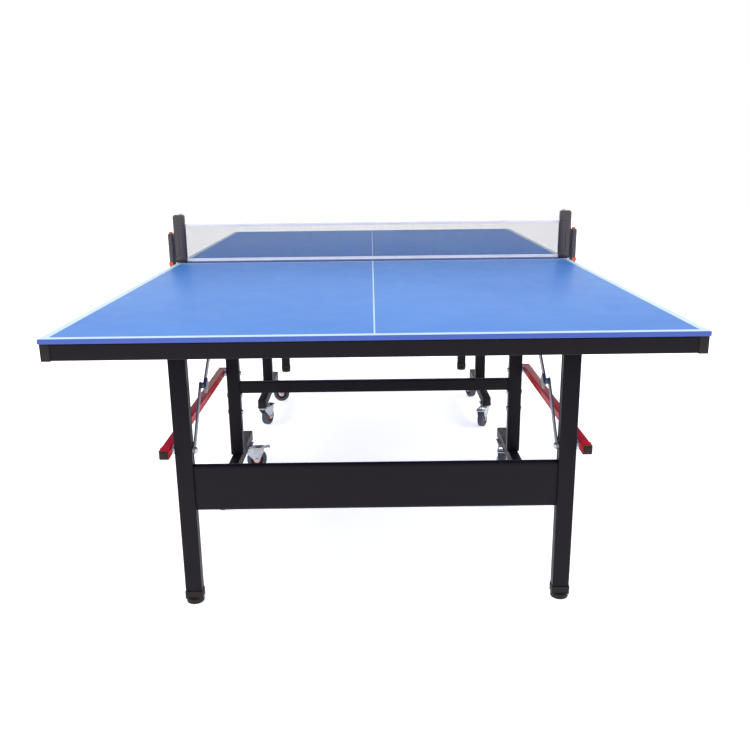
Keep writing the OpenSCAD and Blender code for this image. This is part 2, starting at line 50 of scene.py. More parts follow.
# Sockets of a Mix node that mixes colours
MIX_A, MIX_B, MIX_OUT = 6, 7, 2
BLACK = (0, 0, 0, 1)
record = frame["record"]
BODY = {node: body for body, nodes in record["behaviour"]["bodies"].items() for node in nodes}
JOINTS = {joint["name"]: joint for joint in record["behaviour"]["joints"]}


def corners(node):
    """The lowest and highest corner of a CAD node's box."""
    low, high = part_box(node)
    return Vector(low), Vector(high)


# ---------- Materials ----------


def linear(r, g, b):
    """An sRGB colour, 0 to 255, as linear RGBA."""
    out = []
    for c in (r, g, b):
        c /= 255
        out.append(c / 12.92 if c <= 0.04045 else ((c + 0.055) / 1.055) ** 2.4)
    return (*out, 1)


class Finish:
    """A principled material with coordinates in the object's own metres."""

    def __init__(self, name, metallic=0.0, specular=0.5, coat=0.0, sheen=0.0):
        self.material = bpy.data.materials.new(name)
        self.material.use_nodes = True
        self.tree = self.material.node_tree
        self.shader = self.tree.nodes["Principled BSDF"]
        self.shader.inputs["Metallic"].default_value = metallic
        self.shader.inputs["Specular IOR Level"].default_value = specular
        self.shader.inputs["Coat Weight"].default_value = coat
        self.shader.inputs["Coat Roughness"].default_value = 0.12
        self.shader.inputs["Sheen Weight"].default_value = sheen
        self.coords = self.tree.nodes.new("ShaderNodeTexCoord").outputs["Object"]

    def link(self, a, b):
        self.tree.links.new(a, b)

    def stretched(self, scale):
        node = self.tree.nodes.new("ShaderNodeMapping")
        node.inputs["Scale"].default_value = scale
        self.link(self.coords, node.inputs["Vector"])
        return node.outputs["Vector"]

    def noise(self, scale, detail=4.0, roughness=0.55, stretch=None):
        node = self.tree.nodes.new("ShaderNodeTexNoise")
        node.inputs["Scale"].default_value = scale
        node.inputs["Detail"].default_value = detail
        node.inputs["Roughness"].default_value = roughness
        self.link(self.stretched(stretch) if stretch else self.coords, node.inputs["Vector"])
        return node.outputs["Fac"]

    def wave(self, scale, direction, distortion=0.0):
        node = self.tree.nodes.new("ShaderNodeTexWave")
        node.bands_direction = direction
        node.inputs["Scale"].default_value = scale
        node.inputs["Distortion"].default_value = distortion
        self.link(self.coords, node.inputs["Vector"])
        return node.outputs["Fac"]

    def cells(self, scale):
        node = self.tree.nodes.new("ShaderNodeTexVoronoi")
        node.inputs["Scale"].default_value = scale
        self.link(self.coords, node.inputs["Vector"])
        return node.outputs["Distance"]

    def ramp(self, value, stops):
        """Colours at places between 0 and 1, blended in between."""
        node = self.tree.nodes.new("ShaderNodeValToRGB")
        while len(node.color_ramp.elements) < len(stops):
            node.color_ramp.elements.new(0.5)
        for element, (at, colour) in zip(node.color_ramp.elements, stops):
            element.position = at
            element.color = colour
        self.link(value, node.inputs["Fac"])
        return node.outputs["Color"]

    def math(self, kind, a, b):
        node = self.tree.nodes.new("ShaderNodeMath")
        node.operation = kind
        for socket, value in zip(node.inputs, (a, b)):
            if isinstance(value, (int, float)):
                socket.default_value = value
            else:
                self.link(value, socket)
        return node.outputs[0]

    def facing_up(self):
        """1 on faces that look up in the object's own axes, 0 on its sides and underside."""
        texture = self.tree.nodes.new("ShaderNodeTexCoord")
        parts = self.tree.nodes.new("ShaderNodeSeparateXYZ")
        self.link(texture.outputs["Normal"], parts.inputs[0])
        return self.math("GREATER_THAN", parts.outputs[2], 0.7)

    def mix(self, factor, a, b):
        node = self.tree.nodes.new("ShaderNodeMix")
        node.data_type = "RGBA"
        self.link(factor, node.inputs["Factor"])
        for socket, value in ((node.inputs[MIX_A], a), (node.inputs[MIX_B], b)):
            if isinstance(value, tuple):
                socket.default_value = value
            else:
                self.link(value, socket)
        return node.outputs[MIX_OUT]

    def mask(self, value, low, high, amount):
        """0 where the value is below low, rising to the amount at high."""
        return self.ramp(value, [(low, BLACK), (high, (amount, amount, amount, 1))])

    def spread(self, value, low, high):
        """A value from 0 to 1, spread from low to high."""
        node = self.tree.nodes.new("ShaderNodeMapRange")
        node.inputs["To Min"].default_value = low
        node.inputs["To Max"].default_value = high
        self.link(value, node.inputs["Value"])
        return node.outputs["Result"]

    def colour(self, value):
        self.link(value, self.shader.inputs["Base Color"])

    def roughness(self, value, low, high):
        self.link(self.spread(value, low, high), self.shader.inputs["Roughness"])

    def bump(self, value, strength, distance, under=None):
        """Fine relief, laid over another bump's output if one is given."""
        node = self.tree.nodes.new("ShaderNodeBump")
        node.inputs["Strength"].default_value = strength
        node.inputs["Distance"].default_value = distance
        self.link(value, node.inputs["Height"])
        if under:
            self.link(under, node.inputs["Normal"])
        self.link(node.outputs["Normal"], self.shader.inputs["Normal"])
        return node.outputs["Normal"]


def scuffed(finish, base, worn, amount):
    """The base colour, cloudy, with fine light scuffs over it."""
    shade = 0.86
    darker = (*(shade * c for c in base[:3]), 1)
    tone = finish.ramp(finish.noise(6, 3), [(0.3, darker), (0.7, base)])
    streaks = finish.noise(240, 5, 0.7, stretch=(1, 0.25, 1))
    return finish.mix(finish.mask(streaks, 0.66, 0.78, amount), tone, worn)


def blue_panel():
    f = Finish("blue_panel", specular=0.22)
    blues = [(0.25, linear(48, 106, 183)), (0.6, linear(56, 115, 190)), (0.9, linear(64, 122, 195))]
    tone = f.ramp(f.noise(2.2, 4), blues)
    marks = f.mask(f.noise(55, 6, 0.75), 0.62, 0.8, 0.2)
    face = f.mix(marks, tone, linear(104, 150, 222))
    # Sides and underside get a darker blue-violet: painted shade, because the sides catch less light
    # than the top, though the paint is the same blue
    painted_shade_edge = linear(62, 84, 160)
    f.colour(f.mix(f.facing_up(), painted_shade_edge, face))
    f.roughness(f.noise(14, 5, 0.6), 0.32, 0.48)
    fine = f.bump(f.noise(1500, 2), 0.25, 0.00015)
    f.bump(f.noise(90, 3), 0.12, 0.0004, fine)
    return f.material


def white_paint():
    f = Finish("white_paint", specular=0.4)
    f.colour(scuffed(f, linear(180, 202, 217), linear(150, 174, 196), 0.5))
    f.roughness(f.noise(40, 4), 0.35, 0.55)
    f.bump(f.noise(900, 3), 0.3, 0.0001)
    return f.material


def black_steel():
    f = Finish("black_steel", specular=0.11)
    f.colour(scuffed(f, linear(18, 15, 22), linear(64, 63, 70), 0.3))
    f.roughness(f.noise(30, 5), 0.34, 0.56)
    peel = f.bump(f.noise(700, 3), 0.35, 0.00025)
    f.bump(f.noise(2600, 2), 0.2, 0.0001, peel)
    return f.material


def black_plastic():
    f = Finish("black_plastic", specular=0.25)
    f.colour(scuffed(f, linear(28, 21, 21), linear(64, 58, 56), 0.35))
    f.roughness(f.noise(60, 4), 0.5, 0.72)
    f.bump(f.cells(1400), 0.35, 0.0002)
    return f.material


def post_plastic():
    f = Finish("post_plastic", specular=0.45, coat=0.1)
    f.colour(scuffed(f, linear(62, 56, 61), linear(102, 98, 103), 0.3))
    f.roughness(f.noise(45, 4), 0.3, 0.46)
    f.bump(f.cells(1800), 0.3, 0.00015)
    return f.material


def red_steel():
    f = Finish("red_steel", specular=0.2, coat=0.04)
    f.colour(scuffed(f, linear(200, 6, 18), linear(216, 80, 76), 0.3))
    f.roughness(f.noise(30, 5), 0.28, 0.45)
    f.bump(f.noise(800, 3), 0.3, 0.0002)
    return f.material


def zinc_steel():
    f = Finish("zinc_steel", metallic=0.85)
    greys = [(0.0, linear(166, 168, 172)), (0.5, linear(186, 188, 192)), (1.0, linear(204, 204, 202))]
    tone = f.ramp(f.cells(160), greys)
    dull = f.mask(f.noise(90, 6, 0.7), 0.58, 0.76, 0.6)
    f.colour(f.mix(dull, tone, linear(142, 140, 136)))
    f.roughness(f.noise(260, 4, stretch=(1, 1, 0.2)), 0.26, 0.5)
    f.bump(f.noise(1100, 4), 0.25, 0.00012)
    return f.material


def stay_steel():
    f = Finish("stay_steel", metallic=0.9)
    f.colour(scuffed(f, linear(128, 130, 134), linear(186, 186, 184), 0.6))
    f.roughness(f.noise(220, 4, stretch=(1, 1, 0.2)), 0.3, 0.52)
    f.bump(f.noise(1100, 4), 0.25, 0.00012)
    return f.material


def grey_tyre():
    f = Finish("grey_tyre", specular=0.35)
    f.colour(scuffed(f, linear(72, 79, 90), linear(124, 124, 122), 0.5))
    f.roughness(f.noise(80, 5), 0.6, 0.85)
    f.bump(f.noise(500, 5), 0.4, 0.0003)
    return f.material


def orange_plastic():
    f = Finish("orange_plastic", specular=0.45)
    f.colour(scuffed(f, linear(216, 84, 36), linear(236, 140, 96), 0.4))
    f.roughness(f.noise(70, 4), 0.36, 0.55)
    f.bump(f.cells(1600), 0.3, 0.00015)
    return f.material


def net_cord():
    f = Finish("net_cord", specular=0.2, sheen=0.3)
    f.colour(scuffed(f, linear(26, 31, 68), linear(70, 76, 108), 0.5))
    f.roughness(f.noise(300, 4), 0.7, 0.9)
    f.bump(f.wave(900, "DIAGONAL", 1.5), 0.6, 0.0002)
    return f.material


def white_tape():
    f = Finish("white_tape", specular=0.25, sheen=0.35)
    weft = f.wave(500, "X", 0.6)
    warp = f.wave(420, "Z", 0.6)
    weave = f.math("MAXIMUM", weft, warp)
    thread = f.ramp(weave, [(0.2, linear(196, 194, 206)), (0.7, linear(236, 234, 244))])
    dirt = f.mask(f.noise(18, 5), 0.5, 0.8, 0.35)
    f.colour(f.mix(dirt, thread, linear(190, 186, 182)))
    f.roughness(f.noise(120, 4), 0.7, 0.9)
    f.bump(weave, 0.6, 0.0003)
    return f.material


FINISH = {
    make.__name__: make()
    for make in (
        blue_panel,
        white_paint,
        black_steel,
        black_plastic,
        post_plastic,
        red_steel,
        zinc_steel,
        stay_steel,
        grey_tyre,
        orange_plastic,
        net_cord,
        white_tape,
    )
}

# ---------- Mesh helpers ----------


def add_mesh(name, mesh, slot, body, nodes=(), angle=35, finish=None):
    """Puts a mesh in the scene as a piece of that slot's finish, riding on the body."""
    mesh.materials.clear()
    mesh.materials.append(FINISH[finish or slot])
    mesh.polygons.foreach_set("use_smooth", [True] * len(mesh.polygons))
    mesh.polygons.foreach_set("material_index", [0] * len(mesh.polygons))
    mesh.set_sharp_from_angle(angle=math.radians(angle))
    piece = bpy.data.objects.new(name, mesh)
    bpy.context.scene.collection.objects.link(piece)
    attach(piece, body)
    if nodes:
        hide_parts(*nodes)
    return piece


def from_bmesh(bm, name):
    """The finished mesh, with its faces turned outwards."""
    bmesh.ops.recalc_face_normals(bm, faces=bm.faces)
    mesh = bpy.data.meshes.new(name)
    bm.to_mesh(mesh)
    bm.free()
    return mesh


def add_block(bm, low, high, bevel=0.0, segments=3):
    """A box with rounded edges."""
    made = bmesh.ops.create_cube(bm, size=1)["verts"]
    size = Vector(high) - Vector(low)
    middle = (Vector(high) + Vector(low)) / 2
    for vert in made:
        vert.co = Vector([middle[i] + vert.co[i] * size[i] for i in range(3)])
    if bevel:
        edges = {edge for vert in made for edge in vert.link_edges}
        bmesh.ops.bevel(
            bm,
            geom=list(edges),
            offset=bevel,
            segments=segments,
            profile=0.5,
            affect="EDGES",
            clamp_overlap=True,
        )


def add_loft(bm, rings):
    """Rings of points with the same count, joined in turn and closed at both ends."""
    loops = [[bm.verts.new(point) for point in ring] for ring in rings]
    count = len(loops[0])
    for a, b in zip(loops, loops[1:]):
        for i in range(count):
            j = (i + 1) % count
            bm.faces.new((a[i], a[j], b[j], b[i]))
    bm.faces.new(list(reversed(loops[0])))
    bm.faces.new(loops[-1])


def rounded(x0, x1, y0, y1, radius, z, steps=5):
    """A rectangle with round corners at height z."""
    flat = 1e-5
    radius = min(radius, (x1 - x0) / 2 - flat, (y1 - y0) / 2 - flat)
    ring = []
    for cx, cy, turn in (
        (x1 - radius, y1 - radius, 0),
        (x0 + radius, y1 - radius, 1),
        (x0 + radius, y0 + radius, 2),
        (x1 - radius, y0 + radius, 3),
    ):
        for step in range(steps + 1):
            a = math.pi / 2 * (turn + step / steps)
            ring.append(Vector((cx + radius * math.cos(a), cy + radius * math.sin(a), z)))
    return ring


def set_in(box, inner, outer, ends, radius, z):
    """A rounded ring set in by millimetres from a box's inner, outer and two end faces."""
    x0, x1, y0, y1 = box
    return rounded(x0 + inner * MM, x1 - outer * MM, y0 + ends * MM, y1 - ends * MM, radius * MM, z)


def mirror_to(bm, side):
    """Moves what was made on the right to the side: -1 left, 1 right."""
    for vert in bm.verts:
        vert.co.x *= side


def add_lathe(bm, profile, centre, axis, sides):
    """A closed profile of (radius, place along the axis), turned about the axis."""
    axis = Vector(axis).normalized()
    up = Vector((0, 0, 1)) if abs(axis.z) < 0.9 else Vector((1, 0, 0))
    u = axis.cross(up).normalized()
    v = axis.cross(u)
    rings = []
    for i in range(sides):
        a = 2 * math.pi * i / sides
        out = u * math.cos(a) + v * math.sin(a)
        rings.append([bm.verts.new(Vector(centre) + out * r + axis * t) for r, t in profile])
    count = len(profile)
    for i in range(sides):
        a, b = rings[i], rings[(i + 1) % sides]
        for k in range(count):
            m = (k + 1) % count
            bm.faces.new((a[k], b[k], b[m], a[m]))


def arc(cr, ct, radius, start, stop, steps=5):
    """Points of an arc in a lathe's profile."""
    out = []
    for i in range(steps + 1):
        a = math.radians(start + (stop - start) * i / steps)
        out.append((cr + radius * math.cos(a), ct + radius * math.sin(a)))
    return out


def softened(node, slot, width, finish=None):
    """A CAD node's shape with its sharp edges rounded over."""
    same_point = 2e-6
    same_plane = math.radians(0.4)
    source = frame["nodes"][node]
    bm = bmesh.new()
    bm.from_mesh(source.data)
    bmesh.ops.remove_doubles(bm, verts=bm.verts, dist=same_point)
    bmesh.ops.dissolve_limit(bm, angle_limit=same_plane, verts=bm.verts, edges=bm.edges)
    mesh = from_bmesh(bm, node + "_soft")
    carrier = bpy.data.objects.new("carrier", mesh)
    bpy.context.scene.collection.objects.link(carrier)
    bevel = carrier.modifiers.new("edges", "BEVEL")
    bevel.width = width
    bevel.segments = 2
    bevel.limit_method = "ANGLE"
    bevel.angle_limit = math.radians(30)
    bevel.use_clamp_overlap = True
    seen = carrier.evaluated_get(bpy.context.evaluated_depsgraph_get())
    result = bpy.data.meshes.new_from_object(seen)
    bpy.data.objects.remove(carrier)
    return add_mesh(node + "_shaped", result, slot, BODY[node], [node], finish=finish)


# ---------- Playing surfaces ----------

SIDE_LINE = 20 * MM
CENTRE_LINE = 3.6 * MM
BOARD_EDGE = 1.4 * MM
PAINT = 0.18 * MM
PAINT_EDGE = 0.08 * MM
# The lines stop this far inside the board's rounded edge
LINE_INSET = 1.2 * MM


def playing_surface(half):
    """One half's board with its painted lines."""
    node = half + "_top_panel"
    low, high = corners(node)
    bm = bmesh.new()
    add_block(bm, low, high, BOARD_EDGE, 4)
    add_mesh(node + "_board", from_bmesh(bm, node), "blue_panel", BODY[node], [node])
    end = low.y if half == "near" else high.y
    inward = 1 if half == "near" else -1
    y_outer = end + inward * LINE_INSET
    y_line = end + inward * SIDE_LINE
    y_net = (high.y if half == "near" else low.y) - inward * LINE_INSET
    bm = bmesh.new()
    for x0, x1, ends in (
        (low.x + LINE_INSET, low.x + SIDE_LINE, (y_outer, y_net)),
        (high.x - SIDE_LINE, high.x - LINE_INSET, (y_outer, y_net)),
        (low.x + SIDE_LINE, high.x - SIDE_LINE, (y_outer, y_line)),
        (-CENTRE_LINE / 2, CENTRE_LINE / 2, (y_line, y_net)),
    ):
        y0, y1 = sorted(ends)
        add_block(bm, (x0, y0, high.z - PAINT), (x1, y1, high.z + PAINT), PAINT_EDGE, 1)
    add_mesh(half + "_lines", from_bmesh(bm, half + "_lines"), "white_paint", BODY[node])


# ---------- Caps on the red links and the base beams ----------


BEAM_W = 34 * MM
CAP_L = 6 * MM
CAP_SKIN = 0.35 * MM
CAP_FACE = 1.4 * MM
CAP_FACE_INSET = 5 * MM


def end_caps(node, width):
    """Plastic caps with a raised face over the ends of a pair of tubes."""
    low, high = corners(node)
    bm = bmesh.new()
    for side in (-1, 1):
        x1 = high.x if side > 0 else low.x + width
        x0 = x1 - width
        for y_end, out in ((low.y, -1), (high.y, 1)):
            y0, y1 = sorted((y_end + out * CAP_SKIN, y_end - out * CAP_L))
            cap_low = (x0 - CAP_SKIN, y0, low.z - CAP_SKIN)
            add_block(bm, cap_low, (x1 + CAP_SKIN, y1, high.z + CAP_SKIN), 2.6 * MM, 4)
            y0, y1 = sorted((y_end + out * CAP_FACE, y_end))
            face_low = (x0 + CAP_FACE_INSET, y0, low.z + CAP_FACE_INSET)
            add_block(bm, face_low, (x1 - CAP_FACE_INSET, y1, high.z - CAP_FACE_INSET), 0.6 * MM, 2)
    add_mesh(node + "_caps", from_bmesh(bm, node + "_caps"), "black_plastic", BODY[node])


# ---------- Casters ----------


WHEEL_W = 25 * MM
TYRE_CROWN = 4 * MM
GROOVE = 0.7 * MM
GROOVE_TOP = 0.9 * MM
GROOVE_FLOOR = 0.5 * MM
GROOVE_PITCH = 5 * MM
# The tyre's inner radius as a share of its outer one
SEAT = 0.62
HUB_BORE = 4.1 * MM
# Half of the hub's outline: radius and distance from the wheel's middle plane, in millimetres
HUB = [
    (9.6, 13.4),
    (10.6, 12.6),
    (11.2, 6),
    (12.6, 4.6),
    (18, 4.6),
    (19.4, 6.2),
    (20, 11),
    (20.8, 11.8),
]
# Outline of an orange ring on one face, measured in the same way
RING = [(10.4, 8.4), (10.9, 10.6), (11.9, 11.4), (14.6, 11.4), (15.4, 10.6), (15.4, 8.4)]
SPOKES = 6
# A spoke's middle, from the axle and from the wheel's middle plane, and its size, in millimetres
SPOKE_MIDDLE = 15.4
SPOKE_OUT = 6.4
SPOKE_L = 10
SPOKE_W = 2.6
SPOKE_TAPER = 0.6
SPOKE_DEEP = 5


def tyre(node, centre, axis, radius):
    """A tyre with a rounded crown and three grooves."""
    half_w = WHEEL_W / 2
    seat = radius * SEAT
    shoulder = radius - 6 * MM
    profile = [(seat, -half_w), (shoulder, -half_w)]
    profile += arc(radius - TYRE_CROWN, -half_w + TYRE_CROWN, TYRE_CROWN, -90, 0)
    for at in (-GROOVE_PITCH, 0, GROOVE_PITCH):
        profile += [
            (radius, at - GROOVE_TOP),
            (radius - GROOVE, at - GROOVE_FLOOR),
            (radius - GROOVE, at + GROOVE_FLOOR),
            (radius, at + GROOVE_TOP),
        ]
    profile += arc(radius - TYRE_CROWN, half_w - TYRE_CROWN, TYRE_CROWN, 0, 90)
    profile += [(shoulder, half_w), (seat, half_w)]
    bm = bmesh.new()
    add_lathe(bm, profile, centre, axis, 96)
    add_mesh(node + "_tyre", from_bmesh(bm, node + "_tyre"), "grey_tyre", BODY[node], [node])


def hub(node, centre, axis, seat):
    """A dished hub with spokes on both faces, filling the tyre out to its seat."""
    half = [(HUB_BORE, HUB[0][1] * MM)]
    half += [(r * MM, t * MM) for r, t in HUB]
    half.append((seat + 0.4 * MM, HUB[-1][1] * MM))
    other = [(r, -t) for r, t in reversed(half)]
    bm = bmesh.new()
    add_lathe(bm, half + other, centre, axis, 64)
    up = Vector((0, 0, 1))
    side = axis.cross(up).normalized()
    for spoke in range(SPOKES):
        a = 2 * math.pi / SPOKES * spoke
        out = side * math.cos(a) + up * math.sin(a)
        across = axis.cross(out).normalized()
        for face in (-1, 1):
            made = bmesh.ops.create_cube(bm, size=1)["verts"]
            for vert in made:
                along, wide, deep = vert.co
                vert.co = (
                    centre
                    + out * (SPOKE_MIDDLE + along * SPOKE_L) * MM
                    + across * wide * (SPOKE_W - along * SPOKE_TAPER) * MM
                    + axis * face * (SPOKE_OUT + deep * SPOKE_DEEP) * MM
                )
    add_mesh(node + "_hub", from_bmesh(bm, node + "_hub"), "black_plastic", BODY[node])


def caster_wheel(caster):
    """Tyre, hub and two orange rings of one wheel."""
    node = caster + "_wheel"
    low, high = corners(node)
    centre = (low + high) / 2
    axis = Vector(JOINTS[caster + "_spin"]["axis"])
    radius = (high.z - low.z) / 2
    tyre(node, centre, axis, radius)
    hub(node, centre, axis, radius * SEAT)
    bm = bmesh.new()
    for face in (-1, 1):
        add_lathe(bm, [(r * MM, face * t * MM) for r, t in RING], centre, axis, 64)
    add_mesh(node + "_ring", from_bmesh(bm, node + "_ring"), "orange_plastic", BODY[node])


# ---------- Net set ----------


TAPE_H = 12 * MM
TAPE_CLOTH = 0.7 * MM
# Half the opening of the folded tape at its free edges, where it grips the net
TAPE_LIP = 1.7 * MM
TAPE_CUTS = 120
FOLD_STEPS = 8
STITCH_PITCH = 5 * MM
STITCH_L = 3 * MM
STITCH_H = 0.6 * MM
STITCH_FROM_EDGE = 3 * MM
CORD_PITCH = 3 * MM
CORD_W = 0.8 * MM
CORD_T = 0.55 * MM

mesh_low, mesh_high = corners("net_mesh")
tape_low, tape_high = corners("net_tape")
NET_Y = (mesh_low.y + mesh_high.y) / 2
NET_X0, NET_X1 = mesh_low.x, mesh_high.x
NET_L = NET_X1 - NET_X0
CORD_TOP = tape_high.z - TAPE_H + 3 * MM


def net_cords():
    """Upright and level cords, the uprights behind the level ones."""
    bm = bmesh.new()
    columns = round(NET_L / CORD_PITCH)
    for i in range(columns + 1):
        x = NET_X0 + NET_L * i / columns
        x = min(max(x, NET_X0 + CORD_W / 2), NET_X1 - CORD_W / 2)
        add_block(bm, (x - CORD_W / 2, NET_Y, mesh_low.z), (x + CORD_W / 2, NET_Y + CORD_T, CORD_TOP))
    z0 = mesh_low.z + CORD_W / 2
    rows = int((CORD_TOP - z0) / CORD_PITCH)
    for i in range(rows + 1):
        z = z0 + CORD_PITCH * i
        add_block(bm, (NET_X0, NET_Y - CORD_T, z - CORD_W / 2), (NET_X1, NET_Y, z + CORD_W / 2))
    return add_mesh("net_cords", from_bmesh(bm, "net_cords"), "net_cord", "net_set", ["net_mesh"])


def tape_section():
    """The folded band's cut face: across and up, with the fold at the top."""
    half_t = (tape_high.y - tape_low.y) / 2
    outer, inner = [], []
    for i in range(FOLD_STEPS + 1):
        a = math.pi * (1 - i / FOLD_STEPS)
        outer.append((half_t * math.cos(a), TAPE_H - half_t + half_t * math.sin(a)))
        a = math.pi * i / FOLD_STEPS
        r = half_t - TAPE_CLOTH
        inner.append((r * math.cos(a), TAPE_H - half_t + r * math.sin(a)))
    outer = [(-TAPE_LIP, 0.0), *outer, (TAPE_LIP, 0.0)]
    inner = [(TAPE_LIP - TAPE_CLOTH, 0.0), *inner, (-TAPE_LIP + TAPE_CLOTH, 0.0)]
    return outer + inner


def sway(cut):
    """How far the tape strays sideways at a cut along its length."""
    return 0.35 * MM * math.sin(cut * 0.45) + 0.2 * MM * math.sin(cut * 1.13)


def net_tape(name, low_z, fold_up):
    """A woven band folded over the net's edge, closed and stitched."""
    high_z = low_z + TAPE_H
    section = tape_section()
    rings = []
    for i in range(TAPE_CUTS + 1):
        x = NET_X0 + NET_L * i / TAPE_CUTS
        y = NET_Y + sway(i)
        ring = []
        for across, up in section:
            ring.append(Vector((x, y + across, low_z + up if fold_up else high_z - up)))
        rings.append(ring)
    bm = bmesh.new()
    add_loft(bm, rings)
    band = add_mesh(name, from_bmesh(bm, name), "white_tape", "net_set")
    bm = bmesh.new()
    row = low_z + STITCH_FROM_EDGE if fold_up else high_z - STITCH_FROM_EDGE
    stitches = round(NET_L / STITCH_PITCH)
    for i in range(stitches):
        part = (i + 0.5) / stitches
        x = NET_X0 + NET_L * part
        for face in (-1, 1):
            cloth_y = NET_Y + sway(part * TAPE_CUTS) + face * 2.1 * MM
            y0, y1 = sorted((cloth_y - face * 0.5 * MM, cloth_y + face * 0.15 * MM))
            low = (x - STITCH_L / 2, y0, row - STITCH_H / 2)
            add_block(bm, low, (x + STITCH_L / 2, y1, row + STITCH_H / 2), 0.15 * MM, 1)
    thread = add_mesh(name + "_stitches", from_bmesh(bm, name + "_stitches"), "net_cord", "net_set")
    return band, thread


def net_pieces():
    """The cords and the two tapes, as sheets held stretched between the posts."""
    cords = net_cords()
    top, top_thread = net_tape("net_top_tape", tape_high.z - TAPE_H, True)
    base, base_thread = net_tape("net_base_tape", tape_low.z, False)
    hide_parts("net_tape")


def groove(box, inner, radius, narrow, z, lip, width):
    """A groove round a moulding: its two lips and its floor, one millimetre deep."""
    return [
        set_in(box, 0, 0, 0, radius, z),
        set_in(box, inner, 1, 1, narrow, z + lip * MM),
        set_in(box, inner, 1, 1, narrow, z + (width - lip) * MM),
        set_in(box, 0, 0, 0, radius, z + width * MM),
    ]


POST_W = 44 * MM
POST_CORNER = 9
POST_SLIM = 1.6 * MM
HEEL_STEPS = 8


def net_post(name, side):
    """A moulded post with a round heel, two grooves, four ribs and a bevelled top."""
    low, high = corners("net_posts")
    x_in = high.x - POST_W
    y_mid = (low.y + high.y) / 2
    heel = (high.y - low.y) / 2
    pivot = low.z + heel
    top = high.z - 1 * MM
    box = (x_in, high.x, low.y + POST_SLIM, high.y - POST_SLIM)
    rings = []
    for i in range(1, HEEL_STEPS + 1):
        a = math.pi / 2 * i / HEEL_STEPS
        depth = (heel - POST_SLIM) * math.sin(a)
        z = pivot - heel * math.cos(a)
        radius = POST_CORNER * MM * i / HEEL_STEPS
        rings.append(rounded(x_in, high.x, y_mid - depth, y_mid + depth, radius, z))
    for z in (pivot + 8 * MM, top - 44 * MM):
        rings += groove(box, 1, POST_CORNER, 8, z, 0.8, 3)
    for inner, outer, ends, radius, drop in (
        (0, 0, 0, POST_CORNER, 12),
        (1.5, 3, 1, POST_CORNER, 6.4),
        (3.5, 5.5, 2.4, 8, 4),
        (5, 7, 4, 7, 3.4),
    ):
        rings.append(set_in(box, inner, outer, ends, radius, top - drop * MM))
    bm = bmesh.new()
    add_loft(bm, rings)
    rib_ends = ((1.4, pivot + 14 * MM), (0, pivot + 18 * MM), (0, top - 54 * MM), (1.4, top - 50 * MM))
    for face, wall in ((-1, box[2]), (1, box[3])):
        y0, y1 = sorted((wall - face * 4 * MM, wall + face * 1.6 * MM))
        for x_rib, width in ((x_in + 13 * MM, 5 * MM), (x_in + 27 * MM, 9 * MM)):
            rib = (x_rib - width / 2, x_rib + width / 2, y0, y1)
            add_loft(bm, [set_in(rib, inset, inset, inset, 2.2, z) for inset, z in rib_ends])
    mirror_to(bm, side)
    return add_mesh(name, from_bmesh(bm, name), "post_plastic", "net_set")


def net_knob(name, side):
    """The small bright tension knob on a post's top, with three grip rings."""
    low, high = corners("net_posts")
    centre = Vector((side * (high.x - 30 * MM), (low.y + high.y) / 2, high.z - 5 * MM))
    profile = [(0.4, -2), (6.4, -2), (6.4, 1.2), (6, 1.8)]
    for i in range(3):
        profile += [(6, 2 + i * 0.7), (5.6, 2.35 + i * 0.7)]
    profile += [(5.4, 4.4), (4, 5.2), (0.4, 5.4)]
    bm = bmesh.new()
    add_lathe(bm, [(r * MM, t * MM) for r, t in profile], centre, (0, 0, 1), 48)
    add_mesh(name, from_bmesh(bm, name), "zinc_steel", "net_set")


HOUSING_T = 18 * MM
HOUSING_CORNER = 6
# Clearance round the release button, and how far its well goes below it
WELL_GAP = 0.35 * MM
WELL_DEEP = 4.6 * MM


def net_housing(name, side):
    """The outer housing, with two grooves, a well for the release button and an arm to the apron."""
    low, high = corners("net_housings")
    button_low, button_high = corners("net_button_right")
    x0 = high.x - HOUSING_T
    box = (x0, high.x, low.y, high.y)
    rings = [
        set_in(box, 2, 3, 3, 3, low.z),
        set_in(box, 0, 0.6, 0.6, 5, low.z + 1.6 * MM),
        set_in(box, 0, 0, 0, HOUSING_CORNER, low.z + 4 * MM),
    ]
    for z in (low.z + 44 * MM, high.z - 30 * MM):
        rings += groove(box, 0, HOUSING_CORNER, 5.4, z, 0.7, 2.8)
    rings.append(set_in(box, 0, 0, 0, HOUSING_CORNER, high.z - 4 * MM))
    rings.append(set_in(box, 0.3, 0.8, 0.8, 5.4, high.z - 1.4 * MM))
    rings.append(set_in(box, 1.5, 2, 2, 4.4, high.z))
    well = (
        button_low.x - WELL_GAP,
        button_high.x + WELL_GAP,
        button_low.y - WELL_GAP,
        button_high.y + WELL_GAP,
    )
    for z in (high.z, button_low.z - WELL_DEEP):
        rings.append(rounded(*well, 1.2 * MM, z))
    bm = bmesh.new()
    add_loft(bm, rings)
    arm_low = (corners("near_apron")[1].x, low.y + 2 * MM, low.z + 6 * MM)
    add_block(bm, arm_low, (x0 + 1 * MM, high.y - 2 * MM, low.z + 42 * MM), 0.6 * MM, 2)
    mirror_to(bm, side)
    return add_mesh(name, from_bmesh(bm, name), "post_plastic", BODY["net_housings"])


PAD_Z = 58 * MM
PAD_H = 13 * MM
PAD_RIBS = 4
RIB_PITCH = 2.9 * MM
RIB_H = 1.4 * MM


